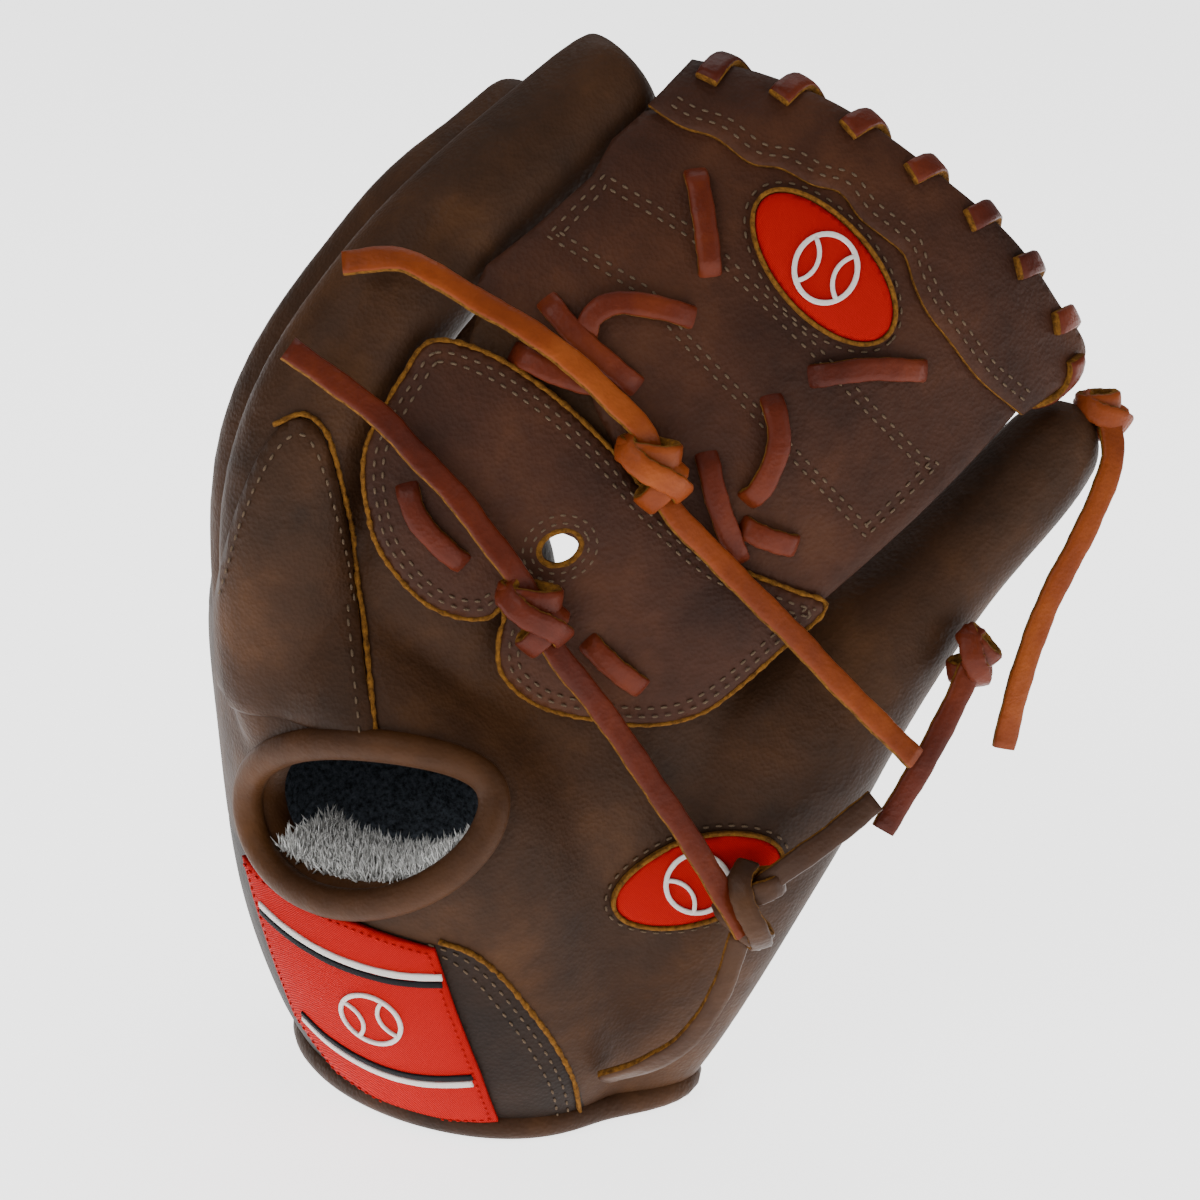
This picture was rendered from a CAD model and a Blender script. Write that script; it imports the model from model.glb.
"""Looks of a left-hand ball glove: smooth leather form, sewn panels, rawhide lacing, patches and lining."""
import math

import bmesh
import bpy
import numpy as np
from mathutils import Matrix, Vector
from mathutils.bvhtree import BVHTree
from mathutils.kdtree import KDTree


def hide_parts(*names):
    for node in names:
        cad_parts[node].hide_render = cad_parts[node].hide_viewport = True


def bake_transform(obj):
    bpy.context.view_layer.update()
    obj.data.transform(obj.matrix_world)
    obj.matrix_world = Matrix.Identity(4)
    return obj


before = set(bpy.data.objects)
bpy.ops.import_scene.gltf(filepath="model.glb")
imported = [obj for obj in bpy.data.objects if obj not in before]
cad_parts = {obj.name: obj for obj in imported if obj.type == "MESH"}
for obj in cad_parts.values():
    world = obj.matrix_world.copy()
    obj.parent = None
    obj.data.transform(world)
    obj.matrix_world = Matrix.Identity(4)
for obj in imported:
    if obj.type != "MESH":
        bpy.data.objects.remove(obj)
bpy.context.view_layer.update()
MM = 0.001
rng = np.random.default_rng(7)

# ---------- camera ----------
TARGET = np.array([35.0, 0.0, 137.0])
VIEW_DISTANCE = 750.0
LENS_MM, SENSOR_MM = 84.4, 36.0
ELEVATION = math.radians(20)


def place_object(name, data):
    obj = bpy.data.objects.new(name, data)
    bpy.context.scene.collection.objects.link(obj)
    return obj


def make_camera():
    data = bpy.data.cameras.new("camera")
    data.lens = LENS_MM
    data.sensor_width = SENSOR_MM
    data.clip_end = 20.0
    cam = place_object("camera", data)
    back = np.array([0.0, -math.cos(ELEVATION), math.sin(ELEVATION)])
    cam.location = Vector((TARGET + back * VIEW_DISTANCE) * MM)
    cam.rotation_euler = (math.pi / 2 - ELEVATION, 0.0, 0.0)
    bpy.context.scene.camera = cam


make_camera()


# ---------- materials ----------
def set_inputs(node, values):
    for key, value in values.items():
        node.inputs[key.replace("_", " ")].default_value = value
    return node


def shader(name, color, rough, **sockets):
    mat = bpy.data.materials.new(name)
    mat.use_nodes = True
    bsdf = mat.node_tree.nodes["Principled BSDF"]
    set_inputs(bsdf, {"Base Color": (*color, 1.0), "Roughness": rough, **sockets})
    return mat, mat.node_tree, bsdf


def linear(color):
    """sRGB bytes to linear colour."""
    out = []
    for c in color:
        c /= 255.0
        out.append(c / 12.92 if c <= 0.04045 else ((c + 0.055) / 1.055) ** 2.4)
    return tuple(out)


def texture(tree, kind, coords, **values):
    """A texture node over the object's own coordinates."""
    node = set_inputs(tree.nodes.new("ShaderNodeTex" + kind), values)
    tree.links.new(coords, node.inputs["Vector"])
    return node


def noise(tree, coords, scale, detail, rough, distortion=0.0):
    node = texture(tree, "Noise", coords, Scale=scale, Detail=detail, Roughness=rough, Distortion=distortion)
    return node.outputs["Fac"]


def tint(tree, bsdf, source, stops):
    """Colours the surface by a ramp over the source value."""
    ramp = tree.nodes.new("ShaderNodeValToRGB")
    elements = ramp.color_ramp.elements
    for element, (place, color) in ((elements[0], stops[0]), (elements[1], stops[-1])):
        element.position = place
        element.color = (*color, 1)
    for place, color in stops[1:-1]:
        elements.new(place).color = (*color, 1)
    tree.links.new(source, ramp.inputs["Fac"])
    tree.links.new(ramp.outputs["Color"], bsdf.inputs["Base Color"])


def object_coords(tree):
    return tree.nodes.new("ShaderNodeTexCoord").outputs["Object"]


def add_bump(tree, bsdf, height, strength, distance, below=None):
    """Relief on the surface, on top of the relief below it if there is one."""
    bump = set_inputs(tree.nodes.new("ShaderNodeBump"), {"Strength": strength, "Distance": distance})
    tree.links.new(height, bump.inputs["Height"])
    if below is not None:
        tree.links.new(below, bump.inputs["Normal"])
    tree.links.new(bump.outputs["Normal"], bsdf.inputs["Normal"])
    return bump.outputs["Normal"]


def leather(name, dark, mid, light, rough=(0.46, 0.66), grain=0.35):
    """Oiled leather: soft colour clouds, pebbled grain, fine pores and long soft creases."""
    dark, mid, light = linear(dark), linear(mid), linear(light)
    mat, tree, bsdf = shader(name, mid, 0.5, Specular_IOR_Level=0.12)
    coords = object_coords(tree)
    clouds = noise(tree, coords, 26.0, 6.0, 0.62)
    tint(tree, bsdf, clouds, [(0.30, dark), (0.52, mid), (0.74, light)])
    sheen = noise(tree, coords, 60.0, 5.0, 0.6)
    span = set_inputs(tree.nodes.new("ShaderNodeMapRange"), {"To Min": rough[0], "To Max": rough[1]})
    tree.links.new(sheen, span.inputs["Value"])
    tree.links.new(span.outputs["Result"], bsdf.inputs["Roughness"])
    creases = noise(tree, coords, 95.0, 3.0, 0.5, distortion=1.2)
    first = add_bump(tree, bsdf, creases, 0.35, 0.0012)
    cells = texture(tree, "Voronoi", coords, Scale=900.0)
    second = add_bump(tree, bsdf, cells.outputs["Distance"], grain, 0.0004, first)
    pores = noise(tree, coords, 2200.0, 3.0, 0.7)
    add_bump(tree, bsdf, pores, 0.25, 0.0002, second)
    return mat


def suede(name, dark, light):
    """Cut edge of leather, pile or felt: fibrous and matt."""
    dark, light = linear(dark), linear(light)
    mat, tree, bsdf = shader(name, dark, 0.9, Specular_IOR_Level=0.1)
    fibres = noise(tree, object_coords(tree), 700.0, 6.0, 0.7)
    tint(tree, bsdf, fibres, [(0.35, dark), (0.68, light)])
    add_bump(tree, bsdf, fibres, 0.7, 0.0005)
    return mat


def woven(name, dark, light, scale=1300.0, rough=0.75):
    """Embroidered or woven cloth: satin threads lying side by side."""
    dark, light = linear(dark), linear(light)
    mat, tree, bsdf = shader(name, light, rough, Specular_IOR_Level=0.08)
    wave = texture(tree, "Wave", object_coords(tree), Scale=scale, Distortion=2.5, Detail=3.0,
                   Detail_Scale=0.6)
    wave.bands_direction = "DIAGONAL"
    tint(tree, bsdf, wave.outputs["Fac"], [(0.1, dark), (0.8, light)])
    add_bump(tree, bsdf, wave.outputs["Fac"], 0.6, 0.0004)
    return mat


LEATHER = leather("shell_leather", (34, 20, 10), (52, 31, 16), (74, 46, 24))
PALM = leather("palm_leather", (38, 23, 12), (58, 36, 19), (80, 51, 28))
STRAP = leather("strap_leather", (18, 10, 6), (28, 17, 10), (40, 25, 15))
WEB = leather("web_leather", (36, 18, 10), (54, 29, 17), (74, 42, 24))
BINDING = leather("binding_leather", (46, 26, 12), (64, 38, 18), (82, 51, 26), grain=0.2)
LACE = leather("lace_grain", (52, 17, 8), (78, 28, 13), (104, 44, 20), (0.3, 0.48), 0.2)
LACE_TAN = leather("lace_tan", (84, 32, 10), (114, 50, 16), (142, 72, 26), (0.34, 0.52), 0.2)
LACE_DARK = leather("lace_dark", (36, 21, 13), (56, 35, 22), (76, 50, 31), (0.36, 0.52), 0.2)
RAW = suede("raw_edge", (66, 40, 12), (126, 84, 30))
THREAD = woven("thread", (60, 48, 36), (120, 100, 80), 2400.0, 0.7)
RED = woven("red_cloth", (128, 6, 4), (190, 14, 10))
WHITE = woven("white_thread", (196, 186, 180), (240, 234, 228), 1700.0, 0.6)
BLACK = woven("black_thread", (10, 10, 12), (28, 28, 32), 1700.0, 0.6)
LINING = suede("lining_cloth", (16, 18, 21), (84, 90, 98))
FUR = suede("shearling_pile", (206, 206, 202), (250, 250, 248))
FELT = suede("wool_felt", (150, 138, 118), (196, 184, 160))


# ---------- mesh helpers (all lengths in millimetres) ----------
def shade_smooth(mesh):
    mesh.polygons.foreach_set("use_smooth", np.ones(len(mesh.polygons), bool))


def add_object(name, verts, faces, mats, face_mats=None, smooth=True):
    mesh = bpy.data.meshes.new(name)
    mesh.from_pydata([tuple(v * MM) for v in np.asarray(verts, float)], [], faces)
    for m in mats:
        mesh.materials.append(m)
    if face_mats is not None:
        mesh.polygons.foreach_set("material_index", np.asarray(face_mats, np.int32))
    if smooth:
        shade_smooth(mesh)
    mesh.update()
    return place_object(name, mesh)


def fix_normals(obj):
    bm = bmesh.new()
    bm.from_mesh(obj.data)
    bmesh.ops.recalc_face_normals(bm, faces=bm.faces)
    bm.to_mesh(obj.data)
    bm.free()


def apply_modifiers(obj):
    """Replaces the object's mesh with its evaluated one and drops the modifiers."""
    graph = bpy.context.evaluated_depsgraph_get()
    mesh = bpy.data.meshes.new_from_object(obj.evaluated_get(graph))
    obj.modifiers.clear()
    obj.data = mesh


def unit(v):
    v = np.asarray(v, float)
    return v / max(np.linalg.norm(v), 1e-9)


def unit_rows(rows):
    return rows / np.maximum(np.linalg.norm(rows, axis=1, keepdims=True), 1e-9)


def angles(count):
    """Even steps round a full turn."""
    return np.arange(count) / count * 2 * math.pi


def spline(points, count, closed=False):
    """Catmull-Rom through the points (any number of columns), sampled evenly in its parameter."""
    p = np.asarray(points, float)
    n = len(p)
    segments = n if closed else n - 1
    out = []
    for s in np.linspace(0, segments, count, endpoint=not closed):
        i = min(int(s), segments - 1)
        f = s - i
        if closed:
            a, b, c, d = (p[(i + k) % n] for k in (-1, 0, 1, 2))
        else:
            b, c = p[i], p[i + 1]
            a = p[i - 1] if i > 0 else 2 * b - c
            d = p[i + 2] if i + 2 < n else 2 * c - b
        out.append(0.5 * (2 * b + (c - a) * f + (2 * a - 5 * b + 4 * c - d) * f ** 2
                          + (3 * b - a - 3 * c + d) * f ** 3))
    return np.array(out)


def even(points, step, closed=False):
    """The same route with points about `step` apart."""
    dense = spline(points, max(24 * len(points), 60), closed)
    if closed:
        dense = np.vstack([dense, dense[:1]])
    length = np.concatenate([[0], np.cumsum(np.linalg.norm(np.diff(dense, axis=0), axis=1))])
    count = max(int(round(length[-1] / step)), 2)
    marks = np.linspace(0, length[-1], count + 1)
    if closed:
        marks = marks[:-1]
    return np.stack([np.interp(marks, length, dense[:, k]) for k in range(dense.shape[1])], axis=1)


def tangents(path, closed=False):
    if closed:
        t = np.roll(path, -1, axis=0) - np.roll(path, 1, axis=0)
    else:
        t = np.gradient(path, axis=0)
    return unit_rows(t)


def cross_axes(path, up, closed=False):
    """Directions across and up at each point of a path, both square to it."""
    along = tangents(path, closed)
    side = unit_rows(np.cross(along, np.broadcast_to(np.asarray(up, float), path.shape)))
    return side, np.cross(side, along)


def wall_faces(rings, around, closed=False):
    """Quads between each ring of points and the next; closed also joins the last ring to the first."""
    faces = []
    for i in range(rings if closed else rings - 1):
        j = (i + 1) % rings
        for m in range(around):
            o = (m + 1) % around
            faces.append((i * around + m, i * around + o, j * around + o, j * around + m))
    return faces


def cap_faces(rings, around):
    """The two flat ends of a row of rings."""
    return [tuple(range(around - 1, -1, -1)), tuple((rings - 1) * around + m for m in range(around))]


# Flat rawhide section, as (across, up) of half width and half thickness, grain side up.
STRAP_SECTION = [(-1.0, -0.55), (-0.9, -1.0), (0.9, -1.0), (1.0, -0.55), (1.0, 0.5), (0.86, 0.95),
                 (0.4, 1.08), (-0.4, 1.08), (-0.86, 0.95), (-1.0, 0.5)]
STRAP_EDGE = {0, 1, 2, 3, 9}


def ribbon(path, up, width, thick, closed=False):
    """Vertices, faces and face materials of a flat lace, where material 1 is its cut edge."""
    path = np.asarray(path, float)
    side, lift = cross_axes(path, up, closed)
    k = len(STRAP_SECTION)
    n = len(path)
    wobble = 1 + 0.035 * np.sin(np.arange(n) * 0.9) + 0.02 * np.sin(np.arange(n) * 2.3)
    verts = []
    for i in range(n):
        for a, b in STRAP_SECTION:
            verts.append(path[i] + side[i] * a * width / 2 * wobble[i] + lift[i] * b * thick / 2)
    faces = wall_faces(n, k, closed)
    mats = [1 if m in STRAP_EDGE else 0 for m in range(k)] * (len(faces) // k)
    if not closed:
        faces += cap_faces(n, k)
        mats += [1, 1]
    return verts, faces, mats


def tube(path, radius, sides, up, closed=False, flat=1.0):
    path = np.asarray(path, float)
    radius = np.broadcast_to(radius, (len(path),))
    side, lift = cross_axes(path, up, closed)
    verts = [path[i] + radius[i] * (side[i] * math.cos(a) + lift[i] * math.sin(a) * flat)
             for i in range(len(path)) for a in angles(sides)]
    faces = wall_faces(len(path), sides, closed)
    if not closed:
        faces += cap_faces(len(path), sides)
    return verts, faces


def merge(parts):
    """Joins several (verts, faces[, mats]) into one."""
    verts, faces, mats = [], [], []
    for part in parts:
        base = len(verts)
        verts += list(part[0])
        faces += [tuple(base + i for i in f) for f in part[1]]
        mats += list(part[2]) if len(part) > 2 else [0] * len(part[1])
    return verts, faces, mats


def bend(obj):
    """Every soft piece follows the same bending field from hand side to thumb side."""
    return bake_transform(obj)


def finish_piece(obj, nodes=()):
    """Bends the piece with the glove, and says which CAD nodes and record slot it stands for."""
    fix_normals(obj)
    if nodes:
        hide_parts(*nodes)
    return bend(obj)


def trim(name, part, mat):
    """A small piece that has no CAD node of its own."""
    return finish_piece(add_object(name, part[0], part[1], [mat]), ())


def lace_piece(name, parts, look, node):
    """One lace: its ribbons joined, with the grain look and a raw cut edge."""
    verts, faces, mats = merge(parts)
    return finish_piece(add_object(name, verts, faces, [look, RAW], mats), [node])


# ---------- shape of the glove ----------
INDEX = [(-44, -20, 96, 18, 15), (-42, -27, 177, 18, 15), (-14, -16, 226, 18, 15), (30, 7, 264, 17, 14),
         (45, 14, 275, 15, 12)]
MIDDLE = [(-52, 8, 96, 17, 15), (-48, 6, 177, 18, 15), (-17, 15, 228, 17, 15), (8, 27, 250, 16, 14),
          (22, 37, 263, 14, 12)]
RING = [(-44, 35, 96, 17, 15), (-38, 37, 177, 17, 15), (-8, 47, 225, 17, 15), (14, 58, 243, 16, 14),
        (26, 67, 252, 14, 12)]
PINKY = [(-34, 60, 94, 17, 15), (-22, 67, 168, 17, 15), (10, 78, 212, 17, 15), (30, 87, 228, 15, 13),
         (38, 91, 233, 13, 11)]
FINGERS = {"index": INDEX, "middle": MIDDLE, "ring": RING, "pinky": PINKY}
THUMB_LINE = [(12, -12, -6, 33, 22), (30, -17, 26, 38, 23), (50, -23, 62, 37, 24), (74, -22, 94, 31, 23),
              (98, -14, 122, 24, 20), (126, -3, 148, 16, 15), (150, 6, 172, 14, 13), (162, 10, 188, 11, 10)]
BRIDGE = [(18, -24, 30, 30, 22), (28, -24, 62, 34, 24), (34, -25, 90, 34, 25), (40, -24, 112, 34, 23),
          (46, -21, 128, 30, 20), (52, -18, 144, 24, 14)]
SHOULDER = [(6, -22, 96, 30, 24), (-2, -21, 126, 30, 21), (-6, -19, 156, 29, 21), (-6, -15, 182, 22, 17),
            (-4, -12, 200, 14, 11)]
BODY = [(-4, -1, 0, 50, 35, 45), (-6, -2, 20, 60, 42, 45), (-11, -4, 55, 64, 47, 48),
        (-18, -2, 100, 67, 46, 58), (-34, 10, 130, 64, 34, 68), (-42, 20, 150, 58, 20, 72)]
POCKET_CENTRE = np.array([64.0, 44.0, 112.0])
POCKET_RADIUS = np.array([58.0, 58.0, 72.0])
DOME = 0.09  # part of a stall's length that is taken up by each rounded end
VOXEL_M = 0.0019


def stall_mesh(stations, shrink=0.0, around=36, rings=44):
    """Closed finger or thumb form: an oval swept along a centre line with rounded ends."""
    polar = np.linspace(0, 1, rings + 1)[1:-1]
    t = 0.5 - 0.5 * np.cos(math.pi * polar)
    dome = np.sqrt(1 - (1 - np.minimum(1, np.minimum(t, 1 - t) / DOME)) ** 2)
    dense = spline(stations, 400)
    cols = np.stack([np.interp(t, np.linspace(0, 1, 400), dense[:, k]) for k in range(5)], axis=1)
    centre = cols[:, :3]
    wide, thick = cross_axes(centre, (0, 1, 0))
    verts = []
    for i in range(len(t)):
        w = max(cols[i, 3] - shrink, 0.5) * dome[i]
        h = max(cols[i, 4] - shrink, 0.5) * dome[i]
        for a in angles(around):
            verts.append(centre[i] + wide[i] * w * math.cos(a) + thick[i] * h * math.sin(a))
    return verts, wall_faces(len(t), around) + cap_faces(len(t), around)


def body_section(z):
    """Centre, half sizes and axes of the hand body's oval at height z."""
    dense = spline(BODY, 240)
    row = [np.interp(z, dense[:, 2], dense[:, k]) for k in range(6)]
    turn = math.radians(row[5])
    across = np.array([math.cos(turn), -math.sin(turn), 0.0])
    deep = np.array([math.sin(turn), math.cos(turn), 0.0])
    return np.array([row[0], row[1], z]), row[3], row[4], across, deep


def body_mesh(shrink=0.0, low=0.0, high=150.0, around=72, rings=50, caps=True):
    verts = []
    for z in np.linspace(low, high, rings):
        c, w, d, across, deep = body_section(z)
        for a in angles(around):
            verts.append(c + across * (w - shrink) * math.cos(a) + deep * (d - shrink) * math.sin(a))
    return verts, wall_faces(rings, around) + (cap_faces(rings, around) if caps else [])


def press_pocket(points, spare=0.0):
    """Pushes points that lie inside the pocket's hollow out to its wall."""
    rel = (points - POCKET_CENTRE) / (POCKET_RADIUS + spare)
    r = np.linalg.norm(rel, axis=1)
    inside = r < 1
    points[inside] = POCKET_CENTRE + rel[inside] / np.maximum(r[inside, None], 0.05) * (POCKET_RADIUS + spare)
    return points


def mesh_points(obj):
    co = np.empty(len(obj.data.vertices) * 3)
    obj.data.vertices.foreach_get("co", co)
    return co.reshape(-1, 3) / MM


def set_points(obj, points):
    obj.data.vertices.foreach_set("co", (points * MM).ravel())
    obj.data.update()


def make_form():
    """One smooth skin round the hand body, thumb and fingers."""
    lines = [THUMB_LINE, BRIDGE, SHOULDER] + list(FINGERS.values())
    parts = [body_mesh()] + [stall_mesh(line) for line in lines]
    verts, faces, _ = merge(parts)
    form = add_object("form", verts, faces, [LEATHER])
    fix_normals(form)
    remesh = form.modifiers.new("remesh", "REMESH")
    remesh.mode = "VOXEL"
    remesh.voxel_size = VOXEL_M
    apply_modifiers(form)
    set_points(form, press_pocket(mesh_points(form)))
    smooth = form.modifiers.new("smooth", "SMOOTH")
    smooth.factor = 0.5
    smooth.iterations = 9
    even_heel(form)
    apply_modifiers(form)
    return form


def even_heel(form):
    """Extra smoothing where the leather runs in one sheet from the hand to the thumb."""
    points = mesh_points(form)
    centre, reach = np.array([38.0, -44.0, 78.0]), np.array([38.0, 26.0, 74.0])
    away = np.linalg.norm((points - centre) / reach, axis=1)
    group = form.vertex_groups.new(name="heel")
    for i in np.flatnonzero(away < 1.2):
        group.add([int(i)], float(np.clip((1.2 - away[i]) / 0.5, 0, 1)), "REPLACE")
    extra = form.modifiers.new("heel", "SMOOTH")
    extra.factor = 0.5
    extra.iterations = 60
    extra.vertex_group = "heel"


form = make_form()


def tree_of(obj):
    bm = bmesh.new()
    bm.from_mesh(obj.data)
    tree = BVHTree.FromBMesh(bm)
    bm.free()
    return tree


form_tree = tree_of(form)


def on_form(x, z, lift=0.0):
    """Point and normal where the view along +Y first meets the glove form at (x, z)."""
    hit, normal, _, _ = form_tree.ray_cast(Vector((x, -160, z)) * MM, Vector((0, 1, 0)))
    if hit is None:
        hit, normal, _, _ = form_tree.find_nearest(Vector((x, -30, z)) * MM)
    n = np.array(normal)
    return np.array(hit) / MM + n * lift, n


def web_depth(x, z):
    """Y of the web's middle surface, from the distances across it and down from its crown."""
    across = (x - 59) * 0.78 - (z - 284) * 0.62
    down = -(x - 59) * 0.62 - (z - 284) * 0.78
    return -12 - 36 * (1 - math.exp(-down / 60)) + 24 * math.exp(-down / 70) * ((across - 65) / 65) ** 2


def on_web(x, z, lift=0.0):
    """Point on the web at (x, z), lifted off it, and the normal that faces -Y."""
    dx = web_depth(x + 0.5, z) - web_depth(x - 0.5, z)
    dz = web_depth(x, z + 0.5) - web_depth(x, z - 0.5)
    n = unit((dx, -1.0, dz))
    return np.array([x, web_depth(x, z), z]) + n * lift, n


# ---------- free lace ends ----------
LACE_WIDTH, LACE_THICK = 6.2, 2.5


def lifted(points):
    """Route on the web: (x, z, lift) triples become points and normals."""
    out, ups = [], []
    for x, z, lift in points:
        p, n = on_web(x, z, lift)
        out.append(p)
        ups.append(n)
    return np.array(out), np.array(ups)


def tail(name, points, ups, look):
    """A free end of lace, declared as a cord that starts at its first point."""
    route = even(np.hstack([points, ups]), 2.0)
    path = route[:, :3]
    part = ribbon(path, unit_rows(route[:, 3:]), LACE_WIDTH, LACE_THICK)
    obj = lace_piece(name + "_lace", [part], look, name)


WEB_TAILS = {
    "tail_web_up": ([(47.5, 188, 7), (45, 196, 10), (38, 203, 9.5), (29, 211, 8.5), (17, 219, 9),
                     (5, 225, 10), (-5, 230, 12), (-14, 233, 13), (-27, 232, 13)], LACE_TAN),
    "tail_web_down": ([(48.5, 186, 7), (52, 177, 10), (61, 167, 9), (72, 155, 9), (83, 143, 9),
                       (93, 131, 10), (111, 110, 14)], LACE_TAN),
    "tail_base_up": ([(18.5, 154, 11), (14, 163, 13), (7, 172, 12), (0, 181, 11), (-10, 191, 11),
                      (-19, 200, 12), (-40, 214, 15)], LACE),
    "tail_base_down": ([(19.5, 152, 11), (24, 143, 14), (32, 132, 13), (40, 120, 13), (48, 107, 14),
                        (56, 94, 15), (70, 68, 17)], LACE),
}
SIDE_LOOKS = {"tail_thumb_tip": LACE_TAN, "tail_thumb_side": LACE, "tail_heel": LACE_DARK}
SIDE_TAILS = {
    "tail_thumb_tip": [(169, 6, 185), (169, 0, 175), (162, -8, 160), (152, -14, 141), (145, -20, 122),
                       (141, -23, 104)],
    "tail_thumb_side": [(131, -27, 129), (127, -31, 121), (119, -37, 107), (108, -42, 89)],
    "tail_heel": [(74, -54, 77), (84, -56, 86), (94, -54, 93), (105, -50, 101)],
}


def make_tails():
    for name, (route, look) in WEB_TAILS.items():
        points, ups = lifted(route)
        ups = ups + np.array([0.38, 0, 0.38])
        tail(name, points, ups, look)
    for name, route in SIDE_TAILS.items():
        points = np.array(route, float)
        ups = np.tile(unit((0.25, -1, 0.3)), (len(points), 1))
        tail(name, points, ups, SIDE_LOOKS[name])


make_tails()


# ---------- leather skin ----------
LINE_POINTS = 160


def split_side(points, stations):
    """Where points lie by a finger or the thumb: the offset across it (+1 back edge, -1 pocket edge),
    the distance from its centre line in half widths, and the way from that line."""
    line = spline(stations, LINE_POINTS)
    centre = line[:, :3]
    wide, _ = cross_axes(centre, (0, 1, 0))
    d = np.linalg.norm(points[:, None, :] - centre[None, :, :], axis=2)
    i = d.argmin(axis=1)
    rel = points - centre[i]
    return (rel * wide[i]).sum(axis=1) / line[i, 3], d.min(axis=1) / line[i, 3], rel


OPENING_AT = np.array([-31.0, -52.0, 95.0])
OPENING_HALF = (36.0, 21.0)
OPENING_TURN = math.radians(-35)
LEAN_C, LEAN_S = math.cos(math.radians(8)), math.sin(math.radians(8))
TUNNEL_OUT = np.array([math.sin(OPENING_TURN), -math.cos(OPENING_TURN), 0.0])
OPENING_ACROSS = np.array([math.cos(OPENING_TURN), math.sin(OPENING_TURN), 0.0])


def opening_coords(points):
    """Oval coordinates u, v round the hand opening, and the distance out along its tunnel."""
    rel = points - OPENING_AT
    across = rel @ OPENING_ACROSS
    up = rel[..., 2]
    det = LEAN_C ** 2 - LEAN_S ** 2
    return (LEAN_C * across - LEAN_S * up) / det, (LEAN_C * up - LEAN_S * across) / det, rel @ TUNNEL_OUT


def in_opening(points, half_u, half_v, deepest):
    """True inside an oval round the hand opening, down to a depth along its tunnel."""
    u, v, depth = opening_coords(points)
    return ((u / half_u) ** 2 + (v / half_v) ** 2 < 1) & (depth > deepest)


def opening_point(a, extra, depth):
    u = math.cos(a) * (OPENING_HALF[0] + extra)
    v = math.sin(a) * (OPENING_HALF[1] + extra)
    across = u * LEAN_C + v * LEAN_S
    up = u * LEAN_S + v * LEAN_C
    return OPENING_AT + OPENING_ACROSS * across + TUNNEL_OUT * depth + np.array([0, 0, up])


STRAP_TOP = [(-75, 73), (-50, 72), (-9, 66), (3, 66), (14, 50), (24, 32), (30, 16), (31, -5)]


def below_strap_line(points):
    """True where the back is covered by the wrist strap."""
    xs = np.array([p[0] for p in STRAP_TOP], float)
    zs = np.array([p[1] for p in STRAP_TOP], float)
    return points[:, 2] < np.interp(points[:, 0], xs, zs)


def palm_depth(points):
    """Distance in front of the plane that parts the palm from the back."""
    return (points[:, 0] + 16) * math.sin(math.radians(50)) + points[:, 1] * math.cos(math.radians(50))


HAND_TOP = 126  # the fingers part above this height
THUMB_FROM = 35.5  # the thumb side's leather starts at this x
FLOOR_CUT = 1.2
SKIN_THICKNESS_M = 0.0024


def label_faces(centres):
    """Name of the leather piece that each face of the form belongs to."""
    labels = np.full(len(centres), "", dtype=object)
    best = np.full(len(centres), 1e9)
    side_of = {}
    for name, stations in FINGERS.items():
        side, dist, _ = split_side(centres, stations)
        side_of[name] = side
        nearer = dist < best
        best = np.where(nearer, dist, best)
        labels[nearer] = name
    low = centres[:, 2] < HAND_TOP
    _, thumb_dist, thumb_rel = split_side(centres, THUMB_LINE)
    on_thumb = (thumb_dist < best) & (centres[:, 0] > 40)
    deep = palm_depth(centres)
    out = np.empty(len(centres), dtype=object)
    for i in range(len(centres)):
        name = labels[i]
        if centres[i, 0] > THUMB_FROM and (low[i] or on_thumb[i]):
            out[i] = "thumb_front" if thumb_rel[i, 1] > 1.5 else "back_leather"
        elif low[i]:
            out[i] = "palm_leather" if deep[i] > 0 and centres[i, 1] > -24 else "back_leather"
        elif name == "index":
            facing_back = side_of[name][i] > -0.72 or (centres[i, 1] < -12 and centres[i, 2] < 206)
            out[i] = "back_leather" if facing_back else "index_front"
        else:
            out[i] = name + ("_back" if side_of[name][i] > -0.05 else "_front")
    strap = (out == "back_leather") & (centres[:, 0] < THUMB_FROM) & below_strap_line(centres)
    out[strap] = "wrist_strap"
    return out


def corners_of(mesh, names):
    """Vertices where three or more pieces meet, which stay put so that the pieces keep meeting."""
    around = [set() for _ in mesh.vertices]
    for poly in mesh.polygons:
        for v in poly.vertices:
            around[v].add(names[poly.index])
    return {i for i, found in enumerate(around) if len(found) > 2}


def calm_border(bm, corners, rounds=10):
    """Evens out the stepped border of an open mesh."""
    border = [v for v in bm.verts if v.is_boundary and v not in corners]
    for _ in range(rounds):
        moved = {}
        for v in border:
            near = [e.other_vert(v) for e in v.link_edges if e.is_boundary]
            if len(near) == 2:
                moved[v] = v.co * 0.4 + (near[0].co + near[1].co) * 0.3
        for v, co in moved.items():
            v.co = co


def match_normals(obj):
    """Gives the skin the whole form's normals, so that two pieces meet without a shading line."""
    mesh = obj.data
    shade_smooth(mesh)
    at_vertex = []
    for v in mesh.vertices:
        near = form_near.find(v.co)[1]
        at_vertex.append(form.data.vertices[near].normal)
    normals = [None] * len(mesh.loops)
    for poly in mesh.polygons:
        for loop in poly.loop_indices:
            n = at_vertex[mesh.loops[loop].vertex_index]
            if poly.material_index == 1:
                normals[loop] = poly.normal
            else:
                normals[loop] = n if n.dot(poly.normal) > 0 else -n
    mesh.normals_split_custom_set(normals)


form_near = KDTree(len(form.data.vertices))
for number, vertex in enumerate(form.data.vertices):
    form_near.insert(vertex.co, number)
form_near.balance()
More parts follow.
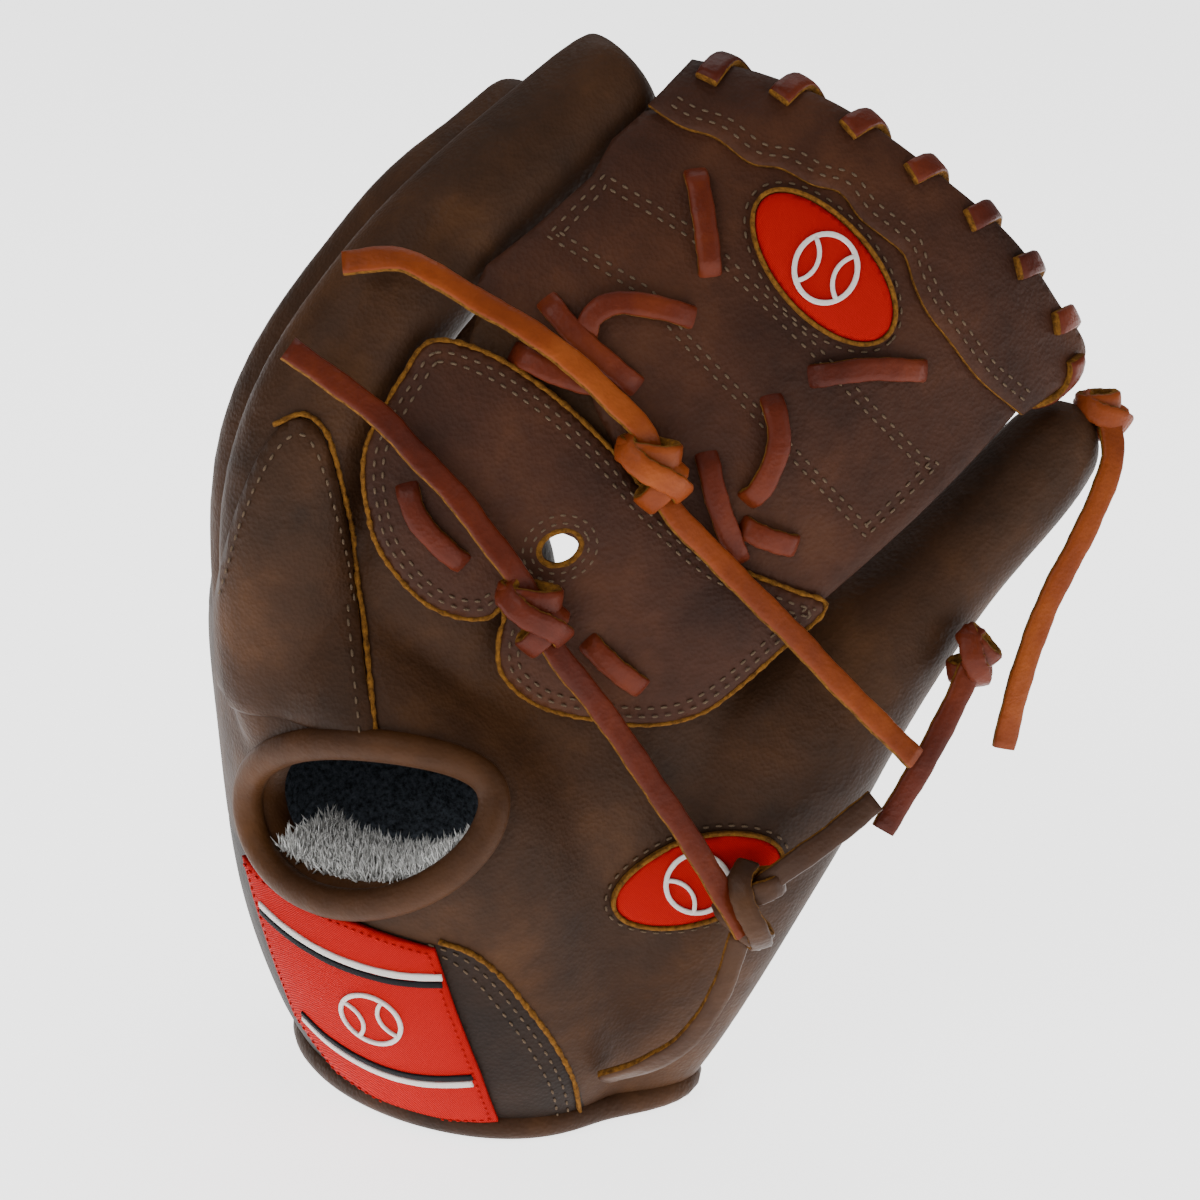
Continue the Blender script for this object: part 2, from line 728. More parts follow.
# One sheet of leather runs from the index finger over the back to the thumb.
STANDS_FOR = {"back_leather": ("back_leather", "index_back", "thumb_back"),
              "thumb_front": ("thumb_front", "thumb_heel_pad")}
LOOKS = {"palm_leather": PALM, "wrist_strap": STRAP}


def cut_skin(name, keep, fixed):
    """The kept faces of the form as one leather piece with its thickness."""
    bm = bmesh.new()
    bm.from_mesh(form.data)
    corners = {v for v in bm.verts if v.index in fixed}
    bmesh.ops.delete(bm, geom=[f for f, k in zip(list(bm.faces), keep) if not k], context="FACES")
    calm_border(bm, {v for v in corners if v.is_valid})
    mesh = bpy.data.meshes.new(name)
    bm.to_mesh(mesh)
    bm.free()
    mesh.materials.clear()
    for mat in (LOOKS.get(name, PALM if name.endswith("_front") else LEATHER), RAW):
        mesh.materials.append(mat)
    obj = place_object(name + "_skin", mesh)
    solid = obj.modifiers.new("thickness", "SOLIDIFY")
    solid.thickness = SKIN_THICKNESS_M
    solid.offset = -1
    solid.material_offset_rim = 1
    apply_modifiers(obj)
    match_normals(obj)
    return obj


def make_skin():
    """Parts the form's skin into its leather pieces, open at the hand hole and at the wrist."""
    centres = np.empty(len(form.data.polygons) * 3)
    form.data.polygons.foreach_get("center", centres)
    centres = centres.reshape(-1, 3) / MM
    labels = label_faces(centres)
    labels[in_opening(centres, 37, 22, -28) | (centres[:, 2] < FLOOR_CUT)] = ""
    fixed = corners_of(form.data, labels)
    for name in sorted(set(labels) - {""}):
        obj = cut_skin(name, labels == name, fixed)
        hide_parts(*STANDS_FOR.get(name, (name,)))
        bend(obj)


make_skin()


# ---------- sewn panels ----------
def edge_distance(x, z, outline):
    """Distance from (x, z) to the closed outline."""
    a = outline
    b = np.roll(outline, -1, axis=0)
    ab = b - a
    ap = np.array([x, z]) - a
    t = np.clip((ap * ab).sum(1) / np.maximum((ab ** 2).sum(1), 1e-9), 0, 1)
    return np.linalg.norm(ap - ab * t[:, None], axis=1).min()


def sharp_outline(points, step=2.0):
    """Closed outline with straight sides and points about `step` apart."""
    out = []
    n = len(points)
    for i in range(n):
        a, b = np.array(points[i], float), np.array(points[(i + 1) % n], float)
        count = max(int(np.linalg.norm(b - a) / step), 1)
        out += [a + (b - a) * k / count for k in range(count)]
    return np.array(out)


def oval(x, z, rx, rz, turn, count=48):
    c, s = math.cos(math.radians(turn)), math.sin(math.radians(turn))
    a = angles(count)
    return np.stack([x + np.cos(a) * rx * c - np.sin(a) * rz * s,
                     z + np.cos(a) * rx * s + np.sin(a) * rz * c], 1)


def inset(outline, d):
    """Outline moved inwards by d (d < 0: outwards)."""
    t = tangents(np.asarray(outline, float), closed=True)
    normal = np.stack([-t[:, 1], t[:, 0]], axis=1)
    x, z = outline[:, 0], outline[:, 1]
    area = 0.5 * np.sum(x * np.roll(z, -1) - np.roll(x, -1) * z)
    return outline + normal * (d if area > 0 else -d)


def cut_grid(outline, cell):
    """Flat face with the outline's shape, cut into cells."""
    bm = bmesh.new()
    bm.faces.new([bm.verts.new((x, 0, z)) for x, z in outline])
    for axis, column in ((0, 0), (2, 1)):
        low, high = outline[:, column].min(), outline[:, column].max()
        for cut in np.arange(low + cell / 2, high, cell):
            co, no = [0, 0, 0], [0, 0, 0]
            co[axis], no[axis] = cut, 1
            geom = bm.verts[:] + bm.edges[:] + bm.faces[:]
            bmesh.ops.bisect_plane(bm, geom=geom, plane_co=co, plane_no=no, dist=0.01)
    bmesh.ops.remove_doubles(bm, verts=bm.verts, dist=0.05)
    return bm


def panel(name, outline, surface, lift, thick, mats, cell=2.4, roll=0.9, puff=0.0, grooves=()):
    """A leather or cloth panel on a surface: a grid with thickness, rolled edges and pressed-in seams."""
    outline = np.asarray(outline, float)
    bm = cut_grid(outline, cell)
    tops, bottoms = [], []
    for v in bm.verts:
        x, z = v.co.x, v.co.z
        d = edge_distance(x, z, outline)
        rise = thick - roll * math.exp(-d / 0.8) + puff * (1 - math.exp(-d / 6.0))
        for line, depth in grooves:
            near = np.linalg.norm(line - np.array([x, z]), axis=1).min()
            rise -= depth * math.exp(-(near / 0.9) ** 2)
        point, normal = surface(x, z)
        tops.append(point + normal * (lift + rise))
        bottoms.append(point + normal * lift)
    bm.verts.index_update()
    n = len(tops)
    top_faces = [tuple(v.index for v in f.verts) for f in bm.faces]
    rim = [(e.verts[0].index, e.verts[1].index) for e in bm.edges if e.is_boundary]
    bm.free()
    faces = top_faces + [tuple(n + i for i in reversed(f)) for f in top_faces]
    face_mats = [0] * len(faces) + [1] * len(rim)
    faces += [(a, b, n + b, n + a) for a, b in rim]
    return add_object(name, tops + bottoms, faces, mats, face_mats)


# Rounded end to rounded end of a stitch, as (place along, part of its radius).
CAPSULE = [(-1.0, 0.25), (-0.7, 0.85), (0.0, 1.0), (0.7, 0.85), (1.0, 0.25)]


def stitch_row(outline, surface, lift, length=2.1, gap=1.2, radius=0.34, closed=True):
    """One row of thread: short rounded stitches along a line on a surface."""
    path = even(outline, (length + gap) / 2, closed)
    parts = []
    count = len(path)
    for i in range(0, count - (0 if closed else 1), 2):
        a, b = path[i], path[(i + 1) % count]
        pa, na = surface(*a[:2])
        pb, _ = surface(*b[:2])
        parts.append(stitch(pa + na * lift, pb + na * lift, na, radius))
    return merge(parts)


def stitch(a, b, up, radius):
    mid, half = (a + b) / 2, (b - a) / 2
    along = unit(half)
    side = unit(np.cross(along, up))
    verts = []
    for s, r in CAPSULE:
        for k in range(6):
            c, d = math.cos(k * math.pi / 3), math.sin(k * math.pi / 3)
            verts.append(mid + half * s + (side * c + up * d * 0.7) * r * radius)
    return verts, wall_faces(len(CAPSULE), 6) + cap_faces(len(CAPSULE), 6)


threads = {"hand": [], "web": [], "thumb": [], "red": []}


def sew(group, outline, surface, lift, closed=True, **size):
    threads[group].append(stitch_row(outline, surface, lift, closed=closed, **size))


# ---------- web ----------
MAIN = [(46, 268), (38, 262), (33, 254), (18, 242), (7, 234), (4, 228), (12, 223), (20, 219), (30, 213),
        (34, 200), (46, 178), (60, 163), (75, 155), (90, 149), (116, 170), (141, 191), (150, 200),
        (130, 240), (100, 262), (70, 272)]
CROWN = [(58, 278), (75, 275), (95, 267.5), (115, 254.5), (137, 236), (151, 217.5), (160, 201), (142, 191)]
CROWN_LOWER = [(142, 191), (130, 202), (121.5, 213), (116, 220), (112.5, 227), (110, 234), (105.5, 238),
               (99, 243),
               (94, 249), (87, 251), (79.6, 254.7), (72, 256), (63.6, 261.5), (55, 264), (47, 268.5)]
BASE = [(-6, 216), (-13, 208), (-18, 200), (-22, 192), (-23, 184), (-22, 176), (-20, 168), (-15, 160),
        (-8, 153),
        (0, 149.5), (7, 149.5), (10, 152), (11.5, 149), (10, 143), (11, 134), (20, 126), (35, 122),
        (48, 120.5),
        (60, 123), (70, 130), (80, 139), (91, 149), (82, 154), (64, 163), (48, 178), (38, 190), (24, 203),
        (8, 213)]
WEB_BOX = [(36.2, 254), (22, 240.5), (46, 226.8), (53.7, 217.5), (73, 197.8), (101.6, 165.9), (120.4, 182.4),
           (115.8, 185), (88, 214.8), (66, 236), (56.7, 242.9)]
INNER = [(47, 266), (39, 260), (34, 252), (19, 240), (9, 232.5), (6, 227), (2, 214), (10, 200), (22, 188),
         (38, 172),
         (48, 171), (53, 173), (58, 169), (57, 160), (64, 155), (72, 156.5), (78, 157), (82, 152),
         (90, 151), (116, 172),
         (139, 191), (148, 200), (128, 239), (99, 260.5), (70, 270)]


def band_between(upper, lower, step=1.6):
    """Closed outline from a smooth upper edge and a wavy lower edge."""
    return np.vstack([even(upper, step), even(lower, step)[1:]])


def make_web():
    crown = band_between(CROWN, CROWN_LOWER)
    main = sharp_outline(MAIN)
    box = sharp_outline(WEB_BOX, 1.5)
    box_in = inset(box, 2.2)
    outer = panel("web_outer", main, on_web, -1.2, 2.4, [WEB, RAW], 2.2,
                  grooves=((box, 0.45), (box_in, 0.45)))
    finish_piece(outer, ["web_outer_panel"])
    inner = panel("web_inner", sharp_outline(INNER), on_web, -4.2, 2.3, [PALM, RAW], 3.0)
    finish_piece(inner, ["web_inner_panel"])
    rows = [inset(crown, d) for d in (2.4, 4.6)]
    strip = panel("web_crown", crown, on_web, 1.3, 2.2, [WEB, RAW], 2.0, grooves=[(r, 0.3) for r in rows])
    finish_piece(strip, ["web_crown_strip"])
    lower_rows = [even(np.array(CROWN_LOWER, float) + np.array([dx, dz]), 1.5)
                  for dx, dz in ((1.7, 1.9), (3.2, 3.6))]
    for row in lower_rows:
        sew("web", row[2:-2], on_web, 3.5, closed=False)
    for row in (box, box_in):
        sew("web", row, on_web, 1.15)
    back_strip = panel("web_crown_back", inset(crown, 0.6), on_web, -6.5, 2.2, [PALM, RAW], 3.0)
    finish_piece(back_strip, ())


def make_base():
    outline = even(BASE, 1.5, closed=True)
    eye = oval(25, 167, 5.4, 4.0, 25)
    rows = [inset(outline, 2.4), inset(outline, 4.6)]
    base = panel("web_base", outline, on_web, 1.4, 2.4, [WEB, RAW], 2.0, puff=0.8,
                 grooves=[(r, 0.4) for r in rows])
    cut_hole(base, eye)
    finish_piece(base, ["web_base_piece"])
    for row in rows:
        sew("web", row, on_web, 4.35)
    sew("web", inset(eye, -2.0), on_web, 4.5, length=1.7)
    sew("web", inset(eye, -4.0), on_web, 4.5, length=1.7)
    raw_edge("base_raw_edge", inset(outline, -0.4), on_web, 2.5, closed=True)
    rim_path = np.array([on_web(x, z, 3.9)[0] for x, z in oval(25, 167, 5.6, 4.2, 25, 32)])
    trim("eyelet_rim", tube(rim_path, 0.9, 8, (0, 1, 0.01), closed=True), RAW)


def raw_edge(name, outline, surface, lift, closed=False):
    """The fibrous cut edge that shows round a thick panel."""
    path = even(outline, 1.0, closed)
    ragged = 1 + 0.16 * np.sin(np.arange(len(path)) * 1.7) + 0.12 * rng.normal(size=len(path))
    found = [surface(x, z) for x, z in path]
    points = np.array([p + n * lift for p, n in found])
    trim(name, tube(points, 0.7 * ragged, 7, (0.02, -1, 0.02), closed, 1.3), RAW)


def cut_hole(obj, outline):
    """Removes the faces of a panel inside an outline and closes the wall of the hole."""
    bm = bmesh.new()
    bm.from_mesh(obj.data)
    centre = outline.mean(axis=0)
    radii = np.abs(outline - centre).max(axis=0)

    def inside(co):
        return ((co.x / MM - centre[0]) / radii[0]) ** 2 + ((co.z / MM - centre[1]) / radii[1]) ** 2 < 1
    gone = [f for f in bm.faces if inside(f.calc_center_median())]
    bmesh.ops.delete(bm, geom=gone, context="FACES")
    for v in bm.verts:
        if v.is_boundary:
            rel = np.array([v.co.x / MM - centre[0], v.co.z / MM - centre[1]])
            scale = 1 / max(np.hypot(rel[0] / radii[0], rel[1] / radii[1]), 0.2)
            v.co.x = (centre[0] + rel[0] * scale) * MM
            v.co.z = (centre[1] + rel[1] * scale) * MM
    bm.to_mesh(obj.data)
    bm.free()


make_web()
make_base()


LACED_WIDTH, LACED_THICK = 5.8, 2.4
DIVE = 3.5  # how deep a lace's ends go into their holes
WEB_LACES = [
    ("lace_to_index", "web_index_lace",
     [[(58.3, 255.5, 2.8), (60.5, 243, 3.6), (62.1, 231, 2.8)],
      [(31, 216, 2.6), (33, 222, 4.0), (39, 225, 4.4), (49, 224, 4.0), (59, 221.5, 2.6)],
      [(21, 227, 2.4), (28, 219, 3.6), (36, 212, 3.6), (45, 205, 2.4)],
      [(14, 214, 2.4), (22, 210, 3.8), (31, 207, 3.4), (38, 207, 2.4)]]),
    ("lace_to_thumb", "web_thumb_lace", [[(86, 207, 2.8), (101, 208, 3.7), (117, 206, 2.8)]]),
    ("lace_panel", "web_panel_lace", [[(77, 203.5, 2.8), (78.5, 192, 4.4), (75, 182, 4.2), (71, 177, 2.8)]]),
    ("lace_cross", "web_cross_lace",
     [[(61, 190, 2.8), (63, 180, 4.0), (66, 171, 4.0), (70, 161, 2.8)],
      [(70, 171, 2.8), (76, 168, 4.0), (84, 165, 2.8)]]),
    ("lace_base", "web_base_lace", [[(-13, 184, 5.0), (-10, 175, 6.4), (-4, 168, 6.4), (2, 162.5, 5.0)]]),
    ("lace_foot", "web_foot_lace", [[(31, 144, 5.0), (38, 137, 6.4), (46, 130, 5.0)]]),
]


def laced(route):
    """A lace that comes up through one hole of the web, lies along the route and goes down the next."""
    points, ups = [], []
    count = 24
    for i, (x, z, lift) in enumerate(spline(route, count)):
        s = i / (count - 1)
        sink = DIVE * (math.exp(-(s / 0.07) ** 2) + math.exp(-((1 - s) / 0.07) ** 2))
        p, n = on_web(x, z)
        points.append(p + n * (lift - sink))
        ups.append(n)
    return ribbon(np.array(points), np.array(ups), LACED_WIDTH, LACED_THICK)


def make_web_laces():
    for name, node, routes in WEB_LACES:
        lace_piece(name, [laced(route) for route in routes], LACE, node)
    wrap_lace()


def wrap_lace():
    """Spiral lace over the crown edge: each turn comes up through its hole and rolls over to the back."""
    edge = even(CROWN, 1.0)
    marks = np.linspace(0.075, 0.93, 8) * (len(edge) - 1)
    parts = []
    for m in marks:
        route, ups = [], []
        for k in range(15):
            a = k / 14 * math.pi
            spot = m - 7.0 + 14.0 * k / 14
            i = int(np.clip(spot, 1, len(edge) - 2))
            along = unit(edge[i + 1] - edge[i - 1])
            out = np.array([-along[1], along[0]])
            reach = -4.6 + 7.6 * math.sin(a)
            lift = -0.3 + 6.0 * math.cos(a)
            x, z = edge[i] + out * reach
            point, normal = on_web(x, z, lift - 1.3)
            route.append(point)
            ups.append(unit(normal * math.cos(a) + np.array([out[0], 0, out[1]]) * math.sin(a)))
        parts.append(ribbon(np.array(route), np.array(ups), 6.0, 2.4))
    lace_piece("lace_spiral", parts, LACE, "web_top_lace")


make_web_laces()


# ---------- knots ----------
def knot(name, centre, axis, size, node, look):
    """An overhand knot in flat lace: two leaning turns and a band that crosses over them."""
    centre = np.asarray(centre, float)
    axis = unit(axis)
    out = np.array([0.05, -1.0, 0.1])
    front = unit(out - axis * (out @ axis))
    side = np.cross(axis, front)

    def place(rows):
        rows = np.asarray(rows, float) * size
        return centre + rows[:, :1] * axis + rows[:, 1:2] * side + rows[:, 2:] * front
    parts = []
    turn = np.linspace(0, 2 * math.pi, 40, endpoint=False)
    for shift, lean, wide, deep in ((4.4, 3.0, 5.6, 4.2), (-4.6, -3.4, 6.2, 4.6)):
        local = np.stack([shift + lean * np.cos(turn), wide * np.cos(turn), deep * np.sin(turn)], axis=1)
        ups = unit_rows(place(local) - place([(shift, 0, 0)]))
        parts.append(ribbon(place(local), ups, 6.0, 2.3, closed=True))
    over = even([(9.5, -2.5, -1.0), (7.0, -4.2, 3.4), (2.5, -2.2, 7.0), (-3.0, 2.4, 7.4), (-8.0, 5.0, 3.4),
                 (-9.5, 3.4, -1.0)], 0.6)
    ups = unit_rows(place(over) - place([(0, 0, -3)]))
    parts.append(ribbon(place(over), ups, 6.0, 2.3))
    lace_piece(name, parts, look, node)


def make_knots():
    down = (0.35, 0, -0.94)
    knot("knot_web", on_web(48, 187, 8.5)[0], down, 1.0, "web_knot", LACE_TAN)
    knot("knot_base", on_web(19, 153, 12.5)[0], down, 1.0, "base_knot", LACE)
    knot("knot_thumb_tip", (168, 10, 186), (0.5, 0, -0.8), 0.7, "thumb_tip_knot", LACE_TAN)
    knot("knot_thumb_side", (132, -24, 130), (-0.3, 0.1, -0.9), 0.75, "thumb_side_knot", LACE)
    knot("knot_heel", (73, -54, 74), (0.25, 0, 0.97), 1.1, "heel_knot", LACE_DARK)


make_knots()


# ---------- rolls, lining and padding ----------
def form_hit(origin, direction):
    hit, normal, _, _ = form_tree.ray_cast(Vector(origin) * MM, Vector(direction))
    return (None, None) if hit is None else (np.array(hit) / MM, np.array(normal))


def roll(name, path, radius, mat, node, up, flat):
    verts, faces = tube(path, radius, 16, up, True, flat)
    finish_piece(add_object(name, verts, faces, [mat]), [node])


def calm_ring(path, rounds=4):
    for _ in range(rounds):
        path = path * 0.5 + (np.roll(path, 1, axis=0) + np.roll(path, -1, axis=0)) * 0.25
    return path


RIM_POINTS = 96


def opening_rim(extra, lift):
    """Ring on the leather round the hand opening, `extra` outside its oval."""
    ring = []
    for a in angles(RIM_POINTS):
        p, _ = form_hit(opening_point(a, extra, 60), -TUNNEL_OUT)
        if p is None or (p - OPENING_AT) @ TUNNEL_OUT < -34:
            p = opening_point(a, extra, -20)
        ring.append(p + TUNNEL_OUT * lift)
    return calm_ring(np.array(ring))


def wrist_ring(z, out):
    """Ring on the leather at height z, `out` further from the middle."""
    ring = []
    for a in angles(RIM_POINTS):
        way = np.array([math.cos(a), math.sin(a), 0.0])
        p, _ = form_hit(np.array([2.0, -5.0, z]) + way * 130, -way)
        ring.append(p + way * out)
    return calm_ring(np.array(ring))


def make_rolls():
    rim = opening_rim(2.2, 0.4)
    roll("opening_roll", rim, 4.3, BINDING, "opening_binding", TUNNEL_OUT, 0.9)
    bottom = wrist_ring(6.0, -1.6)
    bottom[:, 2] = 4.6
    roll("wrist_roll", bottom, 4.2, LEATHER, "wrist_rim", (0, 0, 1), 1.0)
    wall_in, wall_out = opening_rim(-1.5, -6.0), opening_rim(0.8, -1.5)
    inner = wall_in - TUNNEL_OUT * 6
    verts = list(wall_out) + list(wall_in) + list(inner)
    trim("opening_facing", (verts, wall_faces(3, RIM_POINTS)), BINDING)


def cloth_piece(name, verts, faces, mat, thickness, node):
    """A soft layer inside the glove: an open sheet that is given its thickness."""
    obj = add_object(name, verts, faces, [mat])
    fix_normals(obj)
    solid = obj.modifiers.new("thickness", "SOLIDIFY")
    solid.thickness = thickness * MM
    solid.offset = -1
    apply_modifiers(obj)
    shade_smooth(obj.data)
    finish_piece(obj, [node])


def drop_faces(verts, faces, test):
    centres = np.array([np.mean([verts[i] for i in f], axis=0) for f in faces])
    keep = ~test(centres)
    return [f for f, k in zip(faces, keep) if k]


TIP_PULL, TIP_REACH = 8.0, 45
STALL_SHRINK = 6.0


def pull_tip(verts, stations):
    """Draws a stall's rounded end back from the inside of its leather."""
    tip = np.array(stations[-1][:3], float)
    along = unit(tip - stations[-2][:3])
    near = np.clip(1 - np.linalg.norm(verts - tip, axis=1) / TIP_REACH, 0, 1)
    return verts - along * TIP_PULL * near[:, None]


def inner_body(shrink, low, high):
    """Open tube inside the hand body, clear of the pocket by the same amount."""
    verts, faces = body_mesh(shrink, low, high, caps=False)
    return press_pocket(np.array(verts), shrink), faces


def make_lining():
    verts, faces = inner_body(6.5, 8.0, 120.0)
    faces = drop_faces(verts, faces, lambda c: in_opening(c, 40, 25, -38))
    cloth_piece("hand_lining_cloth", verts, faces, LINING, 1.2, "hand_lining")
    for name, stations in list(FINGERS.items()) + [("thumb", THUMB_LINE)]:
        verts, faces = stall_mesh(stations, STALL_SHRINK)
        verts = pull_tip(press_pocket(np.array(verts), STALL_SHRINK), stations)
        verts[:, 2] = np.maximum(verts[:, 2], 3.0)
        start = 10.0 if name == "thumb" else 114.0
        faces = drop_faces(verts, faces[:-2], lambda c: c[:, 2] < start)
        cloth_piece(name + "_stall_cloth", verts, faces, LINING, 1.0, name + "_stall")


def make_palm_pad():
    """Felt sheet between the palm leather and the lining."""
    verts, faces = inner_body(4.4, 22.0, 104.0)
    faces = drop_faces(verts, faces, lambda c: palm_depth(c) < 12)
    cloth_piece("palm_felt", verts, faces, FELT, 1.4, "palm_pad")


def tuft(root, tip, width):
    along = unit(tip - root)
    side = unit(np.cross(along, [0.3, 0.2, 1.0]))
    other = np.cross(along, side)
    ring = [root + (side * math.cos(a) + other * math.sin(a)) * width for a in (0, 2.1, 4.2)]
    mid = [root + (tip - root) * 0.6 + (side * math.cos(a) + other * math.sin(a)) * width * 0.8
           for a in (0, 2.1, 4.2)]
    verts = ring + mid + [tip]
    faces = [(0, 1, 4, 3), (1, 2, 5, 4), (2, 0, 3, 5), (3, 4, 6), (4, 5, 6), (5, 3, 6), (2, 1, 0)]
    return verts, faces


def make_fur():
    """Pile of the wrist pad, showing along the bottom of the hand opening."""
    columns, layers = 90, ((-0.5, -9), (-1.0, -13), (-1.5, -17), (-1.5, -22), (-1.5, -27))
    rows = [opening_point(a, extra, depth) for a in np.linspace(math.radians(222), math.radians(328), columns)
            for extra, depth in layers]
    parts = []
    for p in rows:
        for _ in range(9):
            root = p + rng.normal(0, 0.9, 3)
            lean = unit(np.array([0, 0, 1.0]) + rng.normal(0, 0.35, 3))
            parts.append(tuft(root, root + lean * (3.0 + rng.random() * 2.6), 0.3))
    k = len(layers)
    bed = [tuple(p) for p in rows]
    bed_faces = [(i * k + j, i * k + j + 1, i * k + k + j + 1, i * k + k + j)
                 for i in range(columns - 1) for j in range(k - 1)]
    verts, faces, _ = merge(parts + [(bed, bed_faces)])
    fur = add_object("wrist_pile", verts, faces, [FUR])
    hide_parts("shearling_pad")
    bend(fur)


make_rolls()
make_lining()
make_palm_pad()
make_fur()


# ---------- panels on the leather ----------
LABEL = [(-60, 71), (-46, 70), (-28, 68.5), (-7, 65), (-2, 46), (4, 25), (8, 8), (-8, 4.8), (-23, 5),
         (-37, 9.5),
         (-48, 24), (-54, 48)]
INDEX_PAD = [(-38, 199), (-34, 196), (-31.5, 189), (-29.5, 176), (-27, 155), (-24, 136), (-21, 117),
             (-32, 119),
             (-48, 119), (-64, 119), (-65, 128), (-62, 150), (-56, 172), (-49, 189), (-43, 197)]
BALL_ARC = 0.62


def line_ribbon(route, surface, lift, width, thick, closed=False):
    path = even(route, 1.2, closed)
    found = [surface(x, z) for x, z in path]
    points = np.array([p + n * lift for p, n in found])
    ups = np.array([n for _, n in found])
    return ribbon(points, ups, width, thick, closed)[:2]


def ball_emblem(name, x, z, scale, turn, surface, lift):
    """Plain ball: a ring and two seam arcs."""
    ring = oval(x, z, scale, scale, 0, 40)
    lines = [line_ribbon(ring, surface, lift, 1.3, 0.7, closed=True)]
    c, s = math.cos(math.radians(turn)), math.sin(math.radians(turn))
    for way in (-1, 1):
        arc = []
        for k in np.linspace(-0.95, 0.95, 9):
            u = way * scale * (0.93 - BALL_ARC * math.cos(k * 1.25))
            v = scale * 0.86 * math.sin(k)
            arc.append((x + u * c - v * s, z + u * s + v * c))
        lines.append(line_ribbon(arc, surface, lift, 1.1, 0.7))
    trim(name, merge(lines), WHITE)


def oval_patch(name, x, z, rx, rz, turn, surface, lift, node, group):
    outline = oval(x, z, rx, rz, turn, 60)
    patch = panel(name, outline, surface, lift, 1.5, [RED, RED], 1.6, roll=0.5, puff=0.5)
    finish_piece(patch, [node])
    ball_emblem(name + "_ball", x, z, rz * 0.74, turn + 20, surface, lift + 2.2)
    rim = oval(x, z, rx + 0.7, rz + 0.7, turn, 60)
    edge = line_ribbon(rim, surface, lift + 0.9, 1.1, 1.6, closed=True)
    trim(name + "_edge", edge, RAW)
    sew(group, oval(x, z, rx + 2.6, rz + 2.6, turn, 60), surface, lift + 0.3)


def stripe(name, points, width, mat):
    trim(name, line_ribbon(points, on_form, 2.1, width, 0.7), mat)


def make_label():
    outline = sharp_outline(LABEL, 1.5)
    finish_piece(panel("wrist_label", outline, on_form, 0.2, 1.7, [RED, RED], 2.0, roll=0.6),
                 ["label_patch"])
    sew("red", inset(outline, 1.6), on_form, 1.95, length=1.6, gap=0.5)
    top = [(-54, 61), (-45, 58.5), (-33, 56.5), (-18, 56), (-5, 57.2)]
    low = [(-44, 27), (-36, 22.5), (-24, 19.8), (-12, 20), (2, 23)]
    for name, line, black_at in (("label_top", top, -2.3), ("label_low", low, 2.3)):
        stripe(name + "_white", line, 2.0, WHITE)
        stripe(name + "_black", [(x, z + black_at) for x, z in line], 1.8, BLACK)
    ball_emblem("label_ball", -24, 39, 8.0, 20, on_form, 2.2)


def make_index_pad():
    outline = even(INDEX_PAD, 2.0, closed=True)
    finish_piece(panel("index_finger_pad", outline, on_form, -0.4, 2.6, [LEATHER, RAW], 2.6, roll=1.0,
                       puff=1.4),
                 ["index_pad"])
    sew("hand", INDEX_PAD_SEAM, on_form, 3.0, closed=False)
    raw_edge("index_pad_raw_edge", INDEX_PAD_EDGE, on_form, 0.7)


INDEX_PAD_EDGE = [(-45, 197), (-38, 200), (-33, 196.5), (-30.6, 189), (-28.6, 176), (-26, 155), (-23, 136),
                  (-20.4, 118)]
INDEX_PAD_SEAM = [(-59, 152), (-53, 172), (-47, 186), (-42, 193.5), (-38, 195.5), (-35.6, 193), (-33.6, 186),
                  (-31.6, 173), (-29.2, 154), (-26.2, 136), (-24, 121)]


oval_patch("thumb_patch", 60, 77, 22, 11, 18, on_form, 0.2, "thumb_oval_patch", "thumb")
oval_patch("web_patch", 90, 232, 22, 10.5, -46, on_web, 1.3, "web_oval_patch", "web")
make_label()
make_index_pad()


# ---------- long laces on the leather ----------
LACE_LIFT = 1.4


def free_lace(name, points, node, look):
    """A lace that runs over the leather, kept outside it all the way."""
    path = even(points, 2.0)
    ups, seated = [], []
    for p in path:
        near, normal, _, _ = form_tree.find_nearest(Vector(p) * MM)
        n = np.array(normal)
        gap = (p - np.array(near) / MM) @ n
        seated.append(p + n * max(LACE_LIFT - gap, 0))
        ups.append(n)
    part = ribbon(np.array(seated), calm_rows(np.array(ups)), LACED_WIDTH, LACED_THICK)
    lace_piece(name, [part], look, node)


def calm_rows(rows, rounds=6):
    for _ in range(rounds):
        rows[1:-1] = rows[1:-1] * 0.5 + (rows[:-2] + rows[2:]) * 0.25
    return unit_rows(rows)


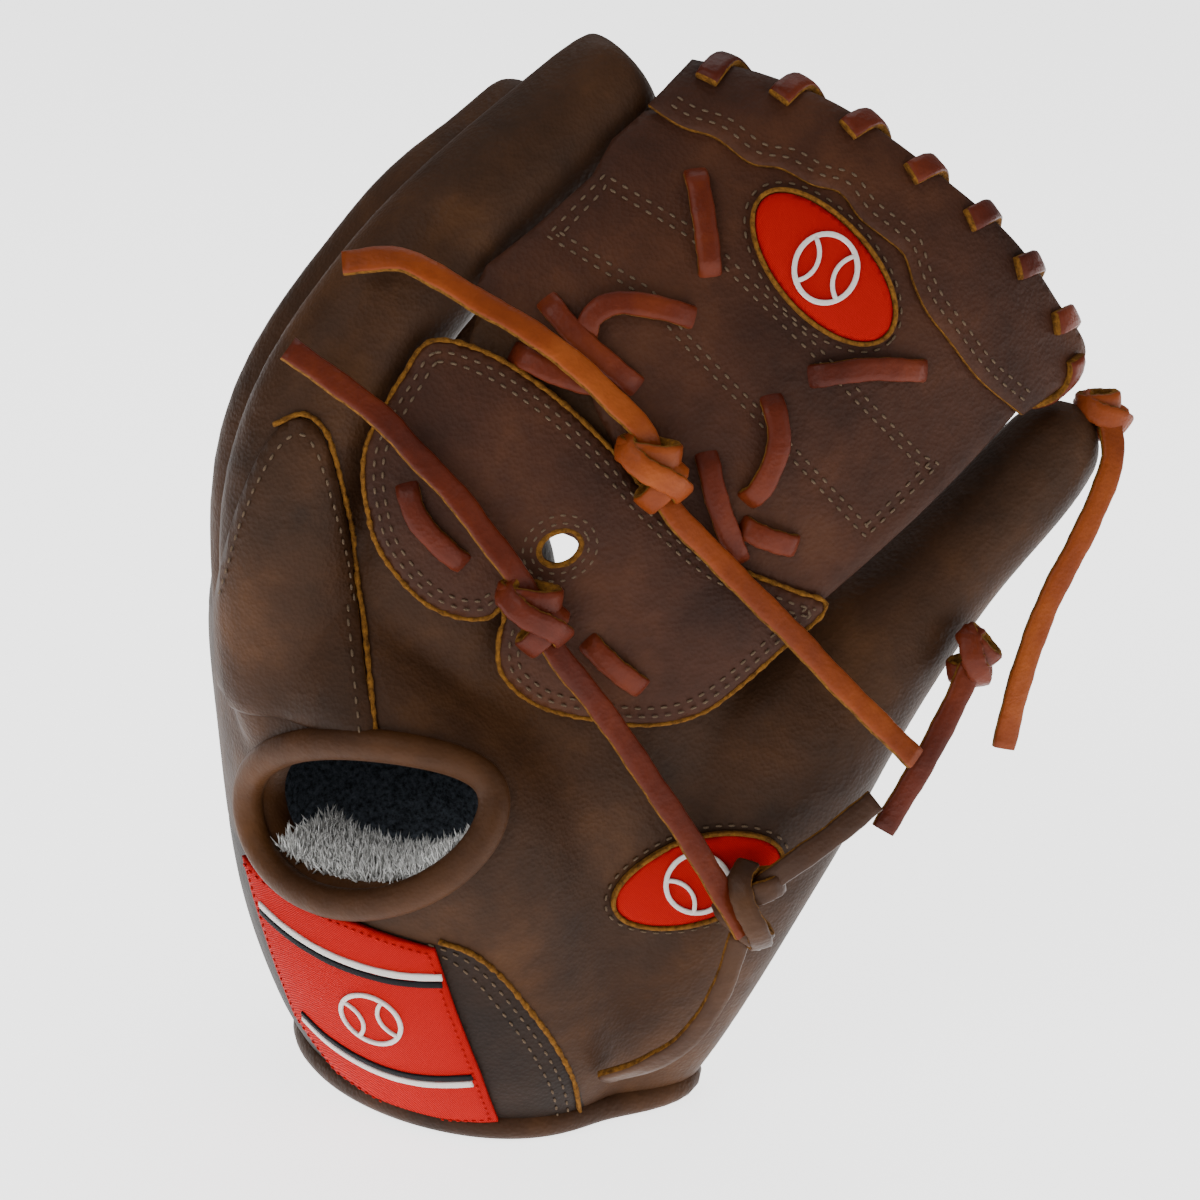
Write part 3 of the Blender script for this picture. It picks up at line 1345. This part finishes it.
free_lace("heel_loop", [(36, -48, 20), (48, -53, 27), (58, -56, 36), (66, -57, 50), (71, -56, 66)],
          "heel_lace",
          LACE_DARK)
free_lace("fingertip_loop", [(46, 2, 254), (36, 22, 240), (26, 33, 232), (28, 48, 224), (24, 62, 222),
                             (27, 74, 214),
                             (38, 88, 207)], "fingertip_lace", LACE)


# ---------- edges and seams on the leather ----------
STRAP_EDGE_LINE = [(-6, 67), (2, 64), (9, 57.5), (16, 47), (23, 34), (28, 20), (29.5, 6)]


def make_edges():
    raw_edge("strap_raw_edge", STRAP_EDGE_LINE, on_form, 0.3)
    for dx in (2.8, 5.6):
        sew("hand", [(x - dx, z - dx * 0.45) for x, z in STRAP_EDGE_LINE], on_form, 0.2, closed=False)


def make_threads():
    looks = {"hand": THREAD, "web": THREAD, "thumb": THREAD, "red": RED}
    for group, parts in threads.items():
        trim("stitches_" + group, merge(parts), looks[group])


make_edges()
make_threads()
bpy.data.objects.remove(form)


# ---------- floor and light ----------
def area_light(name, location, size, power):
    data = bpy.data.lights.new(name, "AREA")
    data.energy = power
    data.size = size
    lamp = place_object(name, data)
    lamp.location = location
    aim = Vector(TARGET * MM) - lamp.location
    lamp.rotation_euler = aim.to_track_quat("-Z", "Y").to_euler()


def make_stage():
    mat, _, _ = shader("floor_paper", (0.93, 0.93, 0.93), 0.9, Specular_IOR_Level=0.1,
                       Emission_Color=(1.0, 1.0, 1.0, 1.0), Emission_Strength=2.4)
    half = 4000
    corners = [(-half, -half, 0), (half, -half, 0), (half, half, 0), (-half, half, 0)]
    floor = add_object("floor", corners, [(0, 1, 2, 3)], [mat], smooth=False)
    world = bpy.data.worlds.new("studio")
    world.use_nodes = True
    world.node_tree.nodes["Background"].inputs["Color"].default_value = (1.0, 1.0, 1.0, 1.0)
    world.node_tree.nodes["Background"].inputs["Strength"].default_value = 0.3
    bpy.context.scene.world = world
    area_light("key", (-0.7, -0.9, 1.0), 0.8, 9.0)
    area_light("fill", (1.0, -0.7, 0.6), 1.0, 3.5)
    area_light("top", (0.1, 0.5, 1.3), 1.0, 7.0)


make_stage()
